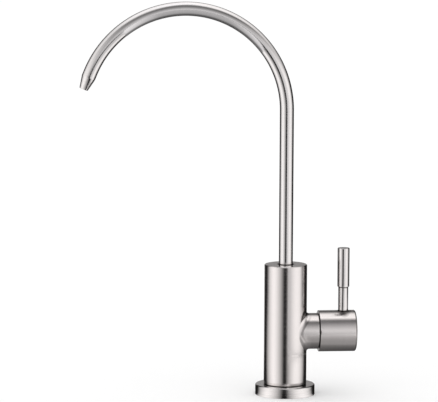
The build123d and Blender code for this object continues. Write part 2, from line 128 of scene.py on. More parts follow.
def carried(profile, path, angles):
    """A profile of (along, radius) points carried round a path: at each angle the point is
    the path's centre plus radius times (cosine times one side vector plus sine times the
    other). Lay is the profile's running length and the angle times its greatest radius."""
    profile = np.asarray(profile, float)
    centre, first, second = path(profile[:, 0])
    radius = profile[:, 1][:, None, None]
    cosine, sine = np.cos(angles)[None, :, None], np.sin(angles)[None, :, None]
    points = centre[:, None] + radius * (cosine * first[:, None] + sine * second[:, None])
    steps = np.linalg.norm(np.diff(profile, axis=0), axis=1)
    run = np.concatenate([[0.0], np.cumsum(steps)])
    lay = np.zeros(points.shape)
    lay[..., 0] = run[:, None]
    lay[..., 1] = angles[None, :] * profile[:, 1].max()
    return points, lay


def full_turn(count):
    """Angles of one full turn, the first and last on the same line."""
    return np.linspace(0.0, 2 * np.pi, count + 1)


def ruled(profile, step):
    """The same profile with points added on its long edges, so that none is longer than
    step: each point's place is read off the running length."""
    profile = np.asarray(profile, float)
    run = np.concatenate([[0.0], np.cumsum(np.linalg.norm(np.diff(profile, axis=0), axis=1))])
    extra = np.arange(0.0, run[-1], step)
    apart = np.abs(extra[:, None] - run).min(1) > 0.25 * step
    places = np.sort(np.concatenate([run, extra[apart]]))
    return np.stack([np.interp(places, run, profile[:, i]) for i in range(2)], -1)


def bored(piece, profile, path, sides=64):
    """The piece with a turned hole cut in its mesh: the hole is the given profile carried
    once round its path."""
    drill = surface("drill", [carried(profile, path, full_turn(sides))])
    cut = piece.modifiers.new("bore", "BOOLEAN")
    cut.operation, cut.solver, cut.object = "DIFFERENCE", "EXACT", drill
    bpy.context.view_layer.update()
    uncut = piece.data
    piece.data = bpy.data.meshes.new_from_object(
        piece.evaluated_get(bpy.context.evaluated_depsgraph_get()))
    cleaned(piece.data)
    piece.modifiers.clear()
    bpy.data.objects.remove(drill)
    bpy.data.meshes.remove(uncut)
    piece.data.name = piece.name


fit, seat_gap, overrun = 0.00002, 0.0003, 0.002
edge_softness, foot_softness = 0.00022, 0.00012
column_radius, column_step = 0.016, 0.0012
column_foot, column_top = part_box("body")[0][2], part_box("body")[1][2]
top_chamfer, foot_line = 0.0005, 0.00045
collar_radius, collar_lead = 0.01345, 0.002
collar_blend, side_blend = 0.0018, 0.0052
collar_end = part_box("body")[1][0]
valve_height = 0.0476
mouth_radius, inlet_radius = 0.00615, 0.00905
mouth_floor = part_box("spout_washer")[0][2]
inlet_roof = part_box("inlet_socket")[1][2] + seat_gap
chamber_radius, chamber_floor = 0.01002, 0.006
screw_radius, screw_start = 0.00202, 0.003
patch_half, patch_side, patch_steps = 0.0205, 40, 12
fillet_steps, collar_steps, back_steps = 16, 8, 72


def blended_collar(angles):
    """The rolled fillet and the collar beyond it. For each angle round the valve's axis a
    ball touches column and collar: its centre is column radius plus blend from the
    column's axis and collar radius plus blend from the valve's. The fillet is the arc of
    that ball between its two touching points. The polishing belt rounds the sides more
    than the top and bottom, so the blend grows with the squared cosine of the angle."""
    blend = collar_blend + (side_blend - collar_blend) * np.cos(angles) ** 2
    spine = collar_radius + blend
    across, up = spine * np.cos(angles), spine * np.sin(angles)
    out = np.sqrt((column_radius + blend) ** 2 - across ** 2)
    centre = np.stack([out, across, up + valve_height], axis=-1)
    shrink = column_radius / (column_radius + blend)
    on_column = np.stack([out * shrink, across * shrink, up + valve_height], axis=-1)
    ratio = collar_radius / spine
    on_collar = np.stack([out, across * ratio, up * ratio + valve_height], axis=-1)
    start, end = (on_column - centre) / blend[:, None], (on_collar - centre) / blend[:, None]
    turn = np.arccos(np.clip((start * end).sum(-1), -1, 1))[:, None]
    share = np.linspace(0.0, 1.0, fillet_steps + 1)[:, None, None]
    arc = (np.sin((1 - share) * turn) * start + np.sin(share * turn) * end) / np.sin(turn)
    return on_column, centre + blend[:, None] * arc, on_collar


def square_loop(half, side):
    """Points round a square, counted along its four sides, as (across, up) pairs."""
    step = np.linspace(-half, half, side + 1)[:-1]
    edge = np.full(side, half)
    return np.concatenate([
        np.stack([edge, step], -1), np.stack([-step, edge], -1),
        np.stack([-edge, -step], -1), np.stack([step, -edge], -1)])


def collar_lay(points):
    """Lay on the collar and its fillet: the distance along the valve's axis and round it."""
    lay = np.zeros(points.shape)
    lay[..., 0] = points[..., 0]
    lay[..., 1] = loop_angles[None] * collar_radius
    return lay


loop = square_loop(patch_half, patch_side)
loop = np.concatenate([loop, loop[:1]])
loop_angles = np.unwrap(np.arctan2(loop[:, 1], loop[:, 0]))
on_column, fillet, on_collar = blended_collar(loop_angles)

# Between the fillet's edge and the square, the column's own surface, unrolled flat.
inner_flat = np.stack([column_radius * np.arctan2(on_column[:, 1], on_column[:, 0]),
                       on_column[:, 2] - valve_height], -1)
share = np.linspace(0.0, 1.0, patch_steps + 1)[:, None, None]
flat = (1 - share) * inner_flat + share * loop
turned_by = flat[..., 0] / column_radius
patch = np.stack([column_radius * np.cos(turned_by), column_radius * np.sin(turned_by),
                  flat[..., 1] + valve_height], -1)
patch_lay = np.stack([patch[..., 2] - column_foot, flat[..., 0], 0 * turned_by], -1)

# The fillet, the collar's wall, and its end face with the valve chamber bored in it.
collar_share = np.linspace(0.0, 1.0, collar_steps + 1)[:, None, None]
collar_profile = softened([
    (collar_end - collar_lead, collar_radius), (collar_end, collar_radius),
    (collar_end, chamber_radius), (chamber_floor, chamber_radius), (chamber_floor, 0.0)],
    edge_softness)
valve_path = straight_path((0, 0, valve_height), (1, 0, 0), (0, 1, 0))
collar_face, collar_face_lay = carried(collar_profile, valve_path, loop_angles)
collar_wall = (1 - collar_share) * on_collar + collar_share * collar_face[0]
collar_face_lay[..., 0] += collar_end - collar_lead

# The rest of the column turns about +Z: its columns of points meet the square's corners.
front_angles = np.linspace(-patch_half, patch_half, patch_side + 1) / column_radius
back_angles = np.linspace(front_angles[-1], 2 * np.pi + front_angles[0], back_steps + 1)
round_angles = np.concatenate([front_angles, back_angles[1:]])
column_path = straight_path((0, 0, 0), (0, 0, 1), (1, 0, 0))
patch_foot, patch_head = valve_height - patch_half, valve_height + patch_half
lower_profile = softened([
    (inlet_roof, 0.0), (inlet_roof, inlet_radius), (column_foot, inlet_radius),
    (column_foot, column_radius - foot_line), (column_foot + foot_line, column_radius - foot_line),
    (column_foot + foot_line, column_radius), (patch_foot, column_radius)], foot_softness)
upper_profile = ruled(softened([
    (patch_head, column_radius), (column_top - top_chamfer, column_radius),
    (column_top, column_radius - top_chamfer), (column_top, mouth_radius),
    (mouth_floor, mouth_radius), (mouth_floor, 0.0)], edge_softness), column_step)
band_profile = np.stack([np.linspace(patch_foot, patch_head, patch_side + 1),
                         np.full(patch_side + 1, column_radius)], -1)
lower, lower_lay = carried(lower_profile, column_path, round_angles)
upper, upper_lay = carried(upper_profile, column_path, round_angles)
band, band_lay = carried(band_profile, column_path, back_angles)
for part_lay, start in ((lower_lay, inlet_roof), (upper_lay, patch_head), (band_lay, patch_foot)):
    part_lay[..., 0] += 0.5 * start
column = surface("column", [
    (lower, lower_lay), (band, band_lay), (upper, upper_lay), (patch, patch_lay),
    (fillet, collar_lay(fillet)), (collar_wall, collar_lay(collar_wall)),
    (collar_face, collar_face_lay)])
rear_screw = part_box("spout_grub_screw")
screw_height = 0.5 * (rear_screw[0][2] + rear_screw[1][2])
bored(column, [(screw_start, 0.0), (screw_start, screw_radius),
               (column_radius + overrun, screw_radius), (column_radius + overrun, 0.0)],
      straight_path((0, 0, screw_height), (0, 1, 0), (1, 0, 0)))


class Socket:
    """A shader socket that can stand in sums, differences, products and quotients. Any
    other Math node's work is asked for by its name with math()."""

    def __init__(self, finish, socket):
        self.finish, self.socket = finish, socket

    def math(self, operation, *others):
        return self.finish.node("ShaderNodeMath", {"operation": operation},
                                {i: v for i, v in enumerate((self, *others))})

    def __add__(self, other):
        return self.math("ADD", other)

    def __sub__(self, other):
        return self.math("SUBTRACT", other)

    def __mul__(self, other):
        return self.math("MULTIPLY", other)

    def __truediv__(self, other):
        return self.math("DIVIDE", other)

    def __rsub__(self, other):
        return self.finish.node("ShaderNodeMath", {"operation": "SUBTRACT"}, {0: other, 1: self})

    def __rtruediv__(self, other):
        return self.finish.node("ShaderNodeMath", {"operation": "DIVIDE"}, {0: other, 1: self})

    __radd__, __rmul__ = __add__, __mul__


class Finish:
    """A node material that is built up by node(), which takes a node's kind, the settings
    that are made first, and the values or links of its sockets."""

    def __init__(self, name):
        self.material = bpy.data.materials.new(name)
        self.material.use_nodes = True
        self.tree = self.material.node_tree
        self.tree.nodes.clear()

    def node(self, kind, settings=None, sockets=None, output=0):
        node = self.tree.nodes.new(kind)
        for key, value in (settings or {}).items():
            if key == "stops":
                ramp = node.color_ramp
                for place, colour in value:
                    element = ramp.elements.new(place)
                    element.color = colour
                ramp.elements.remove(ramp.elements[0])
                ramp.elements.remove(ramp.elements[-1])
            else:
                setattr(node, key, value)
        for key, value in (sockets or {}).items():
            if isinstance(value, Socket):
                self.tree.links.new(value.socket, node.inputs[key])
            else:
                node.inputs[key].default_value = value
        return Socket(self, node.outputs[output]) if node.outputs else None

    def axes(self, vector):
        """The x, y and z of a vector, as three sockets."""
        split = self.node("ShaderNodeSeparateXYZ", {}, {0: vector}).socket.node
        return [Socket(self, split_output) for split_output in split.outputs]

    def end(self, shader):
        self.node("ShaderNodeOutputMaterial", {}, {"Surface": shader})
        return self.material


def brushed_steel(name, tint=(0.78, 0.748, 0.737, 1.0), roughness=0.17, grain=1.0, painted_shade=None):
    """Brushed stainless steel: fine scratches run across the lay, as a polishing belt
    leaves them on turning work, with faint broader bands, a slight change of tone and a
    few soft smears where hands and cloths have been. The last argument, when given, turns
    the x, y and z of a place into painted shade, from 0 to 1, as in the shaded lines between two
    parts."""
    scratches, bands = (9000.0, 90.0, 1.0), (1400.0, 30.0, 1.0)
    scratch_depth, shade, shine = 0.0000045 * grain, 0.93, 1.05
    rough_bands, rough_smears, tone_bands, tone_smears = 0.16, 0.07, 0.8, 0.05
    # Near black: the colour mixed in where painted shade falls.
    painted_shade_colour = (0.06, 0.055, 0.05, 1.0)
    finish = Finish(name)
    lay = finish.node("ShaderNodeAttribute", {"attribute_name": "lay"}, output=1)
    place = finish.node("ShaderNodeTexCoord", output=3)
    fine = finish.node("ShaderNodeTexNoise", {"noise_dimensions": "2D"}, {
        "Vector": finish.node("ShaderNodeMapping", {}, {"Vector": lay, "Scale": scratches}),
        "Scale": 1.0, "Detail": 2.0, "Roughness": 0.6})
    coarse = finish.node("ShaderNodeTexNoise", {"noise_dimensions": "2D"}, {
        "Vector": finish.node("ShaderNodeMapping", {}, {"Vector": lay, "Scale": bands}),
        "Scale": 1.0, "Detail": 3.0, "Roughness": 0.65})
    smear = finish.node("ShaderNodeTexNoise", {}, {
        "Vector": place, "Scale": 38.0, "Detail": 3.0, "Roughness": 0.55})
    level = roughness + (coarse - 0.5) * rough_bands * grain + (smear - 0.5) * rough_smears
    tone = (coarse - 0.5) * tone_bands * grain + (smear - 0.5) * tone_smears + 0.5
    colour = finish.node("ShaderNodeMix", {"data_type": "RGBA"}, {
        0: tone, 6: tuple(shade * c for c in tint[:3]) + (1.0,),
        7: tuple(shine * c for c in tint[:3]) + (1.0,)}, output=2)
    # Painted shade: the colour goes towards near black where the given function says.
    if painted_shade:
        colour = finish.node("ShaderNodeMix", {"data_type": "RGBA"}, {
            0: painted_shade(*finish.axes(place)), 6: colour, 7: painted_shade_colour}, output=2)
    bump = finish.node("ShaderNodeBump", {}, {
        "Height": fine + coarse * 0.8, "Strength": 1.0, "Distance": scratch_depth})
    shader = finish.node("ShaderNodeBsdfPrincipled", {}, {
        "Base Color": colour, "Metallic": 1.0, "Roughness": level, "Normal": bump})
    return finish.end(shader)


def within(distance, half):
    """Full inside 0.6 of the half width, fading to nothing at its edge."""
    share = (1.0 - distance.math("ABSOLUTE") / half) * 2.5
    return share.math("MINIMUM", 1.0).math("MAXIMUM", 0.0)


# Painted shade on the column: the half widths of the dark lines at the foot and round the mouth, and
# for the faint line on the collar's sides its half width, strength, and how it fades below the
# valve's axis.
foot_shade, lip_shade = 0.0008, 0.0014
belt_line, belt_shade, belt_fade, belt_low = 0.0011, 0.55, 0.012, 0.75


def column_painted_shade(x, y, z):
    """Painted shade, from 0 to 1: dark in the line at the foot, on the lip of the mouth round the
    spout, and faintly where the belt's rounding ends on the collar's sides. There the line's x
    follows the centre of the fillet's ball, as in blended_collar, with the cosine read off y,
    and the line fades out below the valve's axis."""
    off_axis = (x * x + y * y).math("SQRT")
    lip = within(off_axis, mouth_radius + lip_shade) * z.math("GREATER_THAN", mouth_floor)
    off_valve = (y * y + (z - valve_height) * (z - valve_height)).math("SQRT")
    cosine = y / off_valve
    blend = collar_blend + cosine * cosine * (side_blend - collar_blend)
    ball_column, ball_across = column_radius + blend, (collar_radius + blend) * cosine
    belt_end = (ball_column * ball_column - ball_across * ball_across).math("SQRT") + belt_line
    rounding = within(x - belt_end, belt_line) * cosine * cosine * belt_shade
    above = ((z - valve_height) / belt_fade + belt_low).math("MAXIMUM", 0.0).math("MINIMUM", 1.0)
    foot = within(z - column_foot, foot_shade)
    return foot.math("MAXIMUM", lip).math("MAXIMUM", rounding * above)


column.data.materials.append(brushed_steel("body_steel", painted_shade=column_painted_shade))
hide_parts("body")
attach(column, "tap_body")

# The deck flange is a turned disc under the column, chamfered round its top edge, with a
# recess below for the inlet socket's head and a groove for the rubber gasket.
flange_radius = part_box("deck_flange")[1][0]
flange_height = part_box("deck_flange")[1][2]
flange_chamfer = 0.00055
gasket_inner, gasket_outer = 0.01398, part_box("deck_gasket")[1][0] + fit
gasket_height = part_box("deck_gasket")[1][2]
head_radius, head_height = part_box("inlet_socket")[1][0] + fit, 0.0034
shank_hole = 0.00902
wide_turn, thin_turn = full_turn(192), full_turn(96)
flange_profile = softened([
    (head_height, shank_hole), (flange_height, shank_hole),
    (flange_height, flange_radius - flange_chamfer), (flange_height - flange_chamfer, flange_radius),
    (0.0, flange_radius), (0.0, gasket_outer), (gasket_height, gasket_outer),
    (gasket_height, gasket_inner), (0.0, gasket_inner), (0.0, head_radius),
    (head_height, head_radius), (head_height, shank_hole)], edge_softness)
flange = surface("flange", [carried(flange_profile, column_path, wide_turn)])
flange.data.materials.append(brushed_steel(
    "flange_steel", (0.785, 0.762, 0.752, 1.0), roughness=0.15, grain=3.4))
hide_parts("deck_flange")
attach(flange, "tap_body")

# The spout is one stainless tube: a straight riser, bent over a round former into the
# gooseneck, with its end swaged down to a short cone. Its foot is brazed in the spigot.
tube_radius, tube_wall = 0.00525, 0.0008
tube_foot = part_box("spout_tube")[0][2]
arc_radius = 0.076
arc_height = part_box("spout_tube")[1][2] - arc_radius - tube_radius
arc_sweep = np.radians(157.5)
tip_straight, tip_cone, tip_radius = 0.004, 0.0095, 0.0033
tip_lead, tip_softness, arc_steps = 0.0012, 0.0003, 149
# The half width of the painted shade round the riser's foot, and the x beyond which it falls.
spout_shade, riser_side = 0.0007, -0.02
riser_length = arc_height - tube_foot
arc_length = arc_radius * arc_sweep


def spout_path(length):
    """The spout's centre line in the XZ plane: straight up, then round a circle towards
    -X, then straight along the tangent. The section is spanned by the direction away from
    the circle's centre and by +Y."""
    angle = np.clip((length - riser_length) / arc_radius, 0.0, arc_sweep)
    rise = np.minimum(length, riser_length)
    beyond = np.maximum(length - riser_length - arc_length, 0.0)
    across = -arc_radius * (1 - np.cos(angle)) - beyond * np.sin(angle)
    up = tube_foot + rise + arc_radius * np.sin(angle) + beyond * np.cos(angle)
    zero = 0 * length
    return (np.stack([across, zero, up], -1), np.stack([np.cos(angle), zero, np.sin(angle)], -1),
            np.stack([zero, zero + 1, zero], -1))


cone_start = riser_length + arc_length + tip_straight
tube_end = cone_start + tip_cone
arc_run = np.linspace(riser_length, riser_length + arc_length, arc_steps + 1)
outer_run = np.concatenate([[0.0], arc_run, [cone_start - tip_lead]])
outer_wall = np.stack([outer_run, np.full(len(outer_run), tube_radius)], -1)
tip_profile = softened([
    (cone_start - tip_lead, tube_radius), (cone_start, tube_radius), (tube_end, tip_radius),
    (tube_end, tip_radius - tube_wall), (cone_start, tube_radius - tube_wall),
    (cone_start - tip_lead, tube_radius - tube_wall)], tip_softness)
inner_wall = np.stack([outer_run[::-1], np.full(len(outer_run), tube_radius - tube_wall)], -1)
tube_profile = np.concatenate([outer_wall[:-1], tip_profile, inner_wall[1:], outer_wall[:1]])
spout = surface("spout", [carried(tube_profile, spout_path, thin_turn)])


def spout_painted_shade(x, y, z):
    """Painted shade on the riser, where it enters the column's mouth."""
    return within(z - column_top, spout_shade) * x.math("GREATER_THAN", riser_side)


spout.data.materials.append(brushed_steel(
    "spout_steel", (0.785, 0.768, 0.762, 1.0), roughness=0.14, painted_shade=spout_painted_shade))
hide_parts("spout_tube")
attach(spout, "spout")

# The hub is the turning cap of the side valve, bored out over the cartridge's hexagon,
# with a narrow bevel round its closed end. The lever is screwed into its top.
hub_start, hub_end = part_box("hub")[0][0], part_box("hub")[1][0]
hub_radius, hub_bevel, hub_step = 0.01545, 0.0007, 0.001
hub_cavity, hub_cavity_end = 0.01315, 0.0386
adapter_radius, adapter_end = 0.006, 0.0476
# Painted shade on the hub: the reach and stretch of the dark spot round the lever's foot, and the
# half widths and strengths of the dark lines at the bevel and the rim.
dimple_reach, dimple_along, dimple_across, dimple_shade = 0.0068, 1.3, 0.4, 0.8
bevel_width, bevel_shade, rim_width = 0.0005, 0.6, 0.0003
hub_profile = ruled(softened([
    (adapter_end, 0.0), (adapter_end, adapter_radius), (hub_cavity_end, adapter_radius),
    (hub_cavity_end, hub_cavity), (hub_start, hub_cavity), (hub_start, hub_radius),
    (hub_end - hub_bevel, hub_radius), (hub_end, hub_radius - hub_bevel), (hub_end, 0.0)],
    edge_softness), hub_step)
hub = surface("hub_cap", [carried(hub_profile, valve_path, wide_turn)])
lever_place = 0.5 * (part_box("lever")[0][0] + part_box("lever")[1][0])
lever_foot, foot_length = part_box("lever")[0][2], 0.006
foot_radius, stem_radius = 0.0025, 0.00375
hub_crest, sink = valve_height + hub_radius, 0.00055
lever_seat = lever_foot + foot_length
upright = straight_path((lever_place, 0, 0), (0, 0, 1), (1, 0, 0))
downward = straight_path((lever_place, 0, valve_height), (0, 0, -1), (1, 0, 0))
bored(hub, [(lever_foot - seat_gap, 0.0), (lever_foot - seat_gap, foot_radius + fit),
            (lever_seat, foot_radius + fit), (lever_seat, stem_radius + fit),
            (hub_crest - 2 * sink, stem_radius + fit), (hub_crest, stem_radius + sink),
            (hub_crest + overrun, stem_radius + sink), (hub_crest + overrun, 0.0)], upright)
bored(hub, [(overrun, 0.0), (overrun, screw_radius), (hub_radius + overrun, screw_radius),
            (hub_radius + overrun, 0.0)], downward)


def hub_painted_shade(x, y, z):
    """Painted shade round the lever's foot, nearly twice as far across the crown as along it, in
    a thin line where the end's bevel begins, and on the rim that faces the collar."""
    along = x - lever_place
    off_lever = (along * along * dimple_along + y * y * dimple_across).math("SQRT")
    upper = z.math("GREATER_THAN", valve_height)
    dimple = within(off_lever, dimple_reach) * upper * dimple_shade
    bevel_line = within(x - (hub_end - hub_bevel), bevel_width) * bevel_shade
    return dimple.math("MAXIMUM", bevel_line).math("MAXIMUM", within(x - hub_start, rim_width))


hub.data.materials.append(brushed_steel("hub_steel", grain=1.3, painted_shade=hub_painted_shade))
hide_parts("hub")
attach(hub, "handle")

# The lever is one turned bar: a threaded foot, a thin stem, and a thicker grip above a
# rounded shoulder, with its top edge broken.
lever_top, grip_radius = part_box("lever")[1][2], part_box("lever")[1][1]
grip_start, stem_end, grip_lead = 0.081, 0.0805, 0.085
foot_rounding, shoulder_rounding, top_rounding = 0.0002, 0.00075, 0.0005
# Painted shade on the lever: its half width at the hub, and the drop, half width and strength of the
# line under the grip's shoulder.
entry_shade, crease_drop, crease_width, crease_shade = 0.0019, 0.0003, 0.0006, 0.8
lever_profile = np.concatenate([
    softened([(lever_foot, 0.0), (lever_foot, foot_radius), (lever_seat, foot_radius),
              (lever_seat, stem_radius), (stem_end, stem_radius)], foot_rounding),
    softened([(stem_end, stem_radius), (grip_start, stem_radius), (grip_start, grip_radius),
              (grip_lead, grip_radius)], shoulder_rounding, steps=7)[1:],
    softened([(grip_lead, grip_radius), (lever_top, grip_radius), (lever_top, 0.0)],
             top_rounding, steps=6)[1:]])
lever = surface("lever_bar", [carried(lever_profile, upright, thin_turn)])


def lever_painted_shade(x, y, z):
    """Painted shade where the stem enters the hub, and in the crease under the grip's shoulder."""
    crease = within(z - (grip_start - crease_drop), crease_width) * crease_shade
    return within(z - (hub_crest - 2 * sink), entry_shade).math("MAXIMUM", crease)


lever.data.materials.append(brushed_steel(
    "lever_steel", (0.775, 0.757, 0.75, 1.0), roughness=0.12, painted_shade=lever_painted_shade))
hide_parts("lever")
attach(lever, "handle")

# The brass pieces are turned from bar: the inlet socket, the spigot under the spout, and
# the valve's cartridge housing and spindle. They keep fine turning rings and a dull tone
# where the cutting oil has dried.


def dressed(material, *names):
    """The material goes on these CAD nodes, whose own shapes stay."""
    for name in names:
        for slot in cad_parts[name].material_slots:
            slot.material = material


def turned_metal(name, light, dark, roughness, across):
    """Bare turned metal: rings of fine noise along the turning axis, which across scales
    per axis, a cloudy change from light to dark, and roughness that follows both."""
    ring_depth, unevenness = 0.00002, 0.2
    finish = Finish(name)
    place = finish.node("ShaderNodeTexCoord", output=3)
    rings = finish.node("ShaderNodeTexNoise", {}, {
        "Vector": finish.node("ShaderNodeMapping", {}, {"Vector": place, "Scale": across}),
        "Scale": 1.0, "Detail": 2.0, "Roughness": 0.6})
    cloud = finish.node("ShaderNodeTexNoise", {}, {
        "Vector": place, "Scale": 160.0, "Detail": 4.0, "Roughness": 0.6})
    colour = finish.node("ShaderNodeMix", {"data_type": "RGBA"}, {
        0: cloud, 6: dark, 7: light}, output=2)
    bump = finish.node("ShaderNodeBump", {}, {
        "Height": rings, "Strength": 1.0, "Distance": ring_depth})
    shader = finish.node("ShaderNodeBsdfPrincipled", {}, {
        "Base Color": colour, "Metallic": 1.0, "Normal": bump,
        "Roughness": roughness + (rings - 0.5) * unevenness + (cloud - 0.5) * unevenness})
    return finish.end(shader)


brass_light, brass_dark = (0.83, 0.64, 0.33, 1.0), (0.62, 0.44, 0.2, 1.0)
upright_rings, valve_rings = (60.0, 60.0, 5000.0), (5000.0, 60.0, 60.0)
dressed(turned_metal("upright_brass", brass_light, brass_dark, 0.3, upright_rings),
        "inlet_socket", "spout_spigot")
dressed(turned_metal("valve_brass", brass_light, brass_dark, 0.3, valve_rings),
        "cartridge_housing", "spindle")

# The two grub screws and the spindle's circlip are hardened steel, blackened by oil, with
# a fine even grain.
screw_light, screw_dark = (0.34, 0.33, 0.32, 1.0), (0.12, 0.12, 0.12, 1.0)
screw_grain = (1500.0, 1500.0, 1500.0)
dressed(turned_metal("screw_steel", screw_light, screw_dark, 0.35, screw_grain),
        "spout_grub_screw", "hub_grub_screw", "spindle_circlip")

# The gasket under the flange, the O-rings and the seal behind the discs are moulded black
# rubber with a dusty bloom and a fine orange-peel skin.


def moulded(name, colour, bloom, roughness, skin, depth):
    """A moulded surface: a cloudy change from colour to bloom, a fine skin of noise at the
    given scale and depth, and roughness that follows the cloud."""
    patch_low, patch_high, unevenness = 0.38, 0.72, 0.25
    finish = Finish(name)
    place = finish.node("ShaderNodeTexCoord", output=3)
    cloud = finish.node("ShaderNodeTexNoise", {}, {
        "Vector": place, "Scale": 240.0, "Detail": 5.0, "Roughness": 0.65})
    grain = finish.node("ShaderNodeTexNoise", {}, {
        "Vector": place, "Scale": skin, "Detail": 2.0, "Roughness": 0.5})
    patches = finish.node("ShaderNodeValToRGB", {
        "stops": [(patch_low, (0.0, 0.0, 0.0, 1.0)), (patch_high, (1.0, 1.0, 1.0, 1.0))]},
        {0: cloud})
    tone = finish.node("ShaderNodeMix", {"data_type": "RGBA"}, {
        0: patches, 6: colour, 7: bloom}, output=2)
    bump = finish.node("ShaderNodeBump", {}, {
        "Height": grain, "Strength": 1.0, "Distance": depth})
    shader = finish.node("ShaderNodeBsdfPrincipled", {}, {
        "Base Color": tone, "Metallic": 0.0, "Normal": bump,
        "Roughness": roughness + (cloud - 0.5) * unevenness})
    return finish.end(shader)


rubber_black, rubber_bloom = (0.014, 0.014, 0.015, 1.0), (0.045, 0.044, 0.043, 1.0)
dressed(moulded("seal_rubber", rubber_black, rubber_bloom, 0.58, 2600.0, 0.00003),
        "deck_gasket", "inlet_o_ring", "spout_o_ring_upper", "spout_o_ring_lower",
        "spindle_o_ring_inner", "spindle_o_ring_outer", "seat_seal")

# The ring in the column's mouth and the splined adapter in the hub are hard black plastic,
# and the thrust washers under the spout and round the spindle are white acetal.
plastic_black, plastic_sheen = (0.02, 0.02, 0.021, 1.0), (0.04, 0.04, 0.04, 1.0)
acetal_white, acetal_worn = (0.82, 0.82, 0.8, 1.0), (0.72, 0.71, 0.68, 1.0)
dressed(moulded("black_plastic", plastic_black, plastic_sheen, 0.4, 1800.0, 0.00002),
        "mouth_ring", "spline_adapter")
dressed(moulded("white_plastic", acetal_white, acetal_worn, 0.38, 1800.0, 0.00002),
        "spout_washer", "spindle_washer")

# The valve's two discs are lapped alumina, off-white, almost mirror flat, with a faint
# speckle from sintering.
alumina, alumina_speckle = (0.85, 0.84, 0.8, 1.0), (0.76, 0.75, 0.71, 1.0)
dressed(moulded("disc_ceramic", alumina, alumina_speckle, 0.16, 5200.0, 0.000002),
        "fixed_disc", "moving_disc")

# The washer that seals the cartridge against the collar is pressed black fibre, dull and
# matted.
fibre_dark, fibre_dust = (0.035, 0.032, 0.03, 1.0), (0.075, 0.068, 0.06, 1.0)
dressed(moulded("dark_fibre", fibre_dark, fibre_dust, 0.8, 900.0, 0.00006), "cartridge_washer")

# Studio: a pale floor under an even white sky, and a light tent that shows only in
# reflections. It has a bright panel at either hand, one overhead, greyer ones ahead and
# behind, and dark felt between them.
sky = bpy.data.worlds.new("sky")
bpy.context.scene.world = sky
sky.use_nodes = True
sky.node_tree.nodes["Background"].inputs["Color"].default_value = (1.0, 1.0, 1.0, 1.0)
sky.node_tree.nodes["Background"].inputs["Strength"].default_value = 1.0

floor_half, floor_grey, floor_lift = 6.0, (0.96, 0.96, 0.96, 1.0), 0.06
floor_mesh = bpy.data.meshes.new("floor")
floor_mesh.from_pydata([
    (-floor_half, -floor_half, 0), (floor_half, -floor_half, 0),
    (floor_half, floor_half, 0), (-floor_half, floor_half, 0)], [], [(0, 1, 2, 3)])
floor = bpy.data.objects.new("floor", floor_mesh)
bpy.context.scene.collection.objects.link(floor)
floor_finish = Finish("floor_paper")
floor_mesh.materials.append(floor_finish.end(floor_finish.node("ShaderNodeAddShader", {}, {
    0: floor_finish.node("ShaderNodeBsdfDiffuse", {}, {"Color": floor_grey}),
    1: floor_finish.node("ShaderNodeEmission", {}, {"Strength": floor_lift})})))

tent_radius, tent_gap, tent_lift = 0.7, 0.02235, 0.0002
dome = np.linspace(0, np.pi / 2, 24)
tent_profile = np.concatenate([
    [(tent_lift, tent_gap), (tent_lift, 0.1), (tent_lift, 0.5)],
    np.stack([tent_lift + tent_radius * np.sin(dome), tent_radius * np.cos(dome)], -1)])
tent_wall = carried(tent_profile, column_path, thin_turn)[0]
camera_bearing = -5.9
sight_x, sight_y = np.sin(np.radians(-camera_bearing)), np.cos(np.radians(camera_bearing))


def mirrored_run(x, y, widest=84.0, halvings=30):
    """How far a level sight line has run since the column mirrored it, where it passes over
    x and y. The mirroring place's normal stands at an angle from -Y, which is found by
    halving: the mirrored line has to point from that place to x and y."""
    early, late = np.zeros(x.shape), np.full(x.shape, np.radians(widest))
    for _ in range(halvings):
        angle = (early + late) / 2
        normal_x, normal_y = np.sin(angle), -np.cos(angle)
        facing = sight_x * normal_x + sight_y * normal_y
        mirror_x, mirror_y = sight_x - 2 * facing * normal_x, sight_y - 2 * facing * normal_y
        away_x, away_y = x - column_radius * normal_x, y - column_radius * normal_y
        beyond = mirror_x * away_y > mirror_y * away_x
        early, late = np.where(beyond, angle, early), np.where(beyond, late, angle)
    return np.hypot(away_x, away_y)


def own_glow(points, ys, glows):
    """A glow for each point by its y, straight between the given pairs, kept as lay."""
    glow = np.interp(points[..., 1], ys, glows)
    return np.stack([glow, glow, glow], -1)


# Two small grey cards stand in the tent for the metal's undersides. One lies under the
# side valve and falls away from the column with the mirrored sight lines, and one follows
# the inside of the gooseneck's crown. Their lay holds each point's own glow.
card_height, card_fall = 0.0315, 0.1757
card_x, card_y = np.meshgrid(
    np.linspace(0.012, 0.07, 30), np.linspace(-0.184, 0.014, 100), indexing="ij")
valve_card = np.stack([card_x, card_y, card_height - card_fall * mirrored_run(card_x, card_y)], -1)
near_column = np.interp(card_x, [0.012, 0.0155, 0.02], [3.4, 1.5, 1.0])[..., None]
valve_glow = near_column * own_glow(
    valve_card, [-0.184, -0.1, -0.06, -0.046, -0.026, -0.0176, -0.0135, -0.005, 0.014],
    [0.66, 0.59, 0.5, 0.44, 0.35, 0.34, 0.2, 0.1, 0.05])
crown_gap = 0.010
crown_turn, crown_y = np.meshgrid(
    np.radians(np.linspace(-38.0, 54.0, 47)), np.linspace(-0.095, 0.026, 61), indexing="ij")
crown_radius = arc_radius - tube_radius - crown_gap
crown_card = np.stack([crown_radius * np.sin(crown_turn) - arc_radius, crown_y,
                       crown_radius * np.cos(crown_turn) + arc_height], -1)
crown_side = np.interp(
    crown_turn, np.radians([-36.0, -14.0, 30.0, 54.0]), [2.0, 1.0, 1.0, 1.9])[..., None]
crown_glow = crown_side * own_glow(
    crown_card, [-0.095, -0.05, -0.02, -0.009, -0.003, 0.026],
    [0.62, 0.55, 0.5, 0.42, 0.12, 0.03])
tent = surface("light_tent", [
    (tent_wall, np.zeros(tent_wall.shape)), (valve_card, valve_glow), (crown_card, crown_glow)])

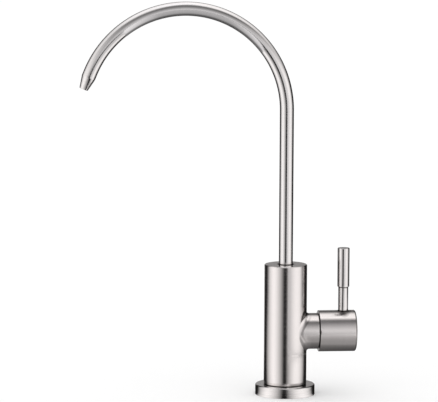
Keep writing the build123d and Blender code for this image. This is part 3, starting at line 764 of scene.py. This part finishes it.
# Where a place in the tent lies. Near the tap it is seen from the column's side and not
# from its axis, so there its bearing opens out, more the nearer it is.
tent_finish = Finish("tent_cloth")
spot_x, spot_y, spot_z = tent_finish.axes(tent_finish.node("ShaderNodeTexCoord", output=3))
degrees = float(180 / np.pi)
reach = (spot_x * spot_x + spot_y * spot_y).math("SQRT")
near_turn, close_turn, widest_turn = 0.0052, 0.0002, 135.0
from_camera = spot_x.math("ARCTAN2", spot_y * -1.0) * degrees - camera_bearing
off_camera = from_camera.math("ABSOLUTE")
turned = off_camera * (1.0 + near_turn / reach + close_turn / (reach * reach))
turned = turned.math("MINIMUM", widest_turn).math("MAXIMUM", off_camera)
bearing = from_camera.math("SIGN") * turned + camera_bearing
height = spot_z.math("ARCTAN2", reach) * degrees
over = spot_z.math("ARCTAN2", spot_y * -1.0) * degrees


def panel(angle, centre, half, glow, fall=2.0):
    """A panel's glow across an angle: glow times one less the distance from its centre
    over its half width, raised to the power of fall, and nothing beyond."""
    off = ((angle - centre) / half).math("ABSOLUTE")
    return (1.0 - off.math("POWER", fall)).math("MAXIMUM", 0.0) * glow


def ramp(angle, start, end):
    """Nothing before start, one beyond end, and even between them."""
    return ((angle - start) / (end - start)).math("MAXIMUM", 0.0).math("MINIMUM", 1.0)


hands = panel(bearing, -73.0, 58.0, 1.2, fall=1.6) + panel(bearing, 57.0, 60.0, 1.14)
hands = hands * (1.0 - ramp(height, 28.0, 58.0) * 0.85)
aside = bearing - camera_bearing
outer_edge = (ramp(aside, 84.0, 114.0) + ramp(aside * -1.0, 98.0, 124.0)) * ramp(reach, 0.32, 0.46)
hands = hands * (1.0 - outer_edge)
sideways = spot_x / (reach * reach + spot_z * spot_z).math("SQRT")
overhead = ramp(over, 69.0, 86.0) * (1.0 - ramp(over, 108.0, 134.0)) * panel(sideways, 0.0, 0.9, 1.2)
floor_glow, wall_glow = 0.62, 0.2
ahead = (floor_glow * ramp(reach, 0.17, 0.27) + wall_glow * ramp(over, -1.0, 5.0)
         - floor_glow * ramp(over, 15.0, 58.0))
leaning = bearing + (height - 13.0).math("MAXIMUM", 0.0) * 3.0
ahead = ahead * ramp(leaning, 2.5, 7.0) * (1.0 - ramp(bearing, 22.0, 34.0))
rear_glow, rear_drop, rear_fade = 0.95, 0.6, 0.6
rear = panel(bearing.math("ABSOLUTE"), 180.0, 26.0, 1.0)
rear = rear * (rear_glow - ramp(height, -4.0, 3.0) * rear_drop)
rear = rear * (1.0 - ramp(height, 16.0, 27.0) * rear_fade)
felt_glow = 0.012
glow = felt_glow + hands.math("MAXIMUM", ahead) + overhead + rear
card_glow = tent_finish.node("ShaderNodeAttribute", {"attribute_name": "lay"}, output=2)
glow = glow * (1.0 - card_glow.math("GREATER_THAN", 0.0)) + card_glow
side_tint, ahead_tint = (1.0, 0.98, 0.977, 1.0), (1.0, 0.992, 1.005, 1.0)
tint = tent_finish.node("ShaderNodeMix", {"data_type": "RGBA"}, {
    0: ahead / (ahead + hands + 0.01), 6: side_tint, 7: ahead_tint}, output=2)
tent.data.materials.append(tent_finish.end(tent_finish.node(
    "ShaderNodeEmission", {}, {"Color": tint, "Strength": glow})))
tent.visible_camera = False
tent.visible_diffuse = False
tent.visible_transmission = False
tent.visible_volume_scatter = False
tent.visible_shadow = False

# Camera: a long lens, a little above the tap and to its left, with the photo's slight lean.
bearing_angle, height_angle, roll_angle = np.radians([-5.906, 7.651, -0.287])
camera_distance, lens_pixels, frame_pixels, sensor_width = 2.8, 3761.685, 438, 36.0
look_at = np.array([-0.050412, 0.0, 0.146461])
back = np.array([np.sin(bearing_angle) * np.cos(height_angle),
                 -np.cos(bearing_angle) * np.cos(height_angle), np.sin(height_angle)])
right = np.array([np.cos(bearing_angle), np.sin(bearing_angle), 0.0])
up = np.cross(back, right)
rolled_up = up * np.cos(roll_angle) + right * np.sin(roll_angle)
rolled_right = right * np.cos(roll_angle) - up * np.sin(roll_angle)
camera_data = bpy.data.cameras.new("camera")
camera_data.sensor_width = sensor_width
camera_data.lens = lens_pixels / frame_pixels * sensor_width
camera_data.clip_end = 50.0
camera = bpy.data.objects.new("camera", camera_data)
bpy.context.scene.collection.objects.link(camera)
placed = np.eye(4)
placed[:3, 0], placed[:3, 1], placed[:3, 2] = rolled_right, rolled_up, back
placed[:3, 3] = look_at + back * camera_distance
camera.matrix_world = Matrix(placed.tolist())
bpy.context.scene.camera = camera
bpy.context.scene.view_settings.view_transform = "Standard"
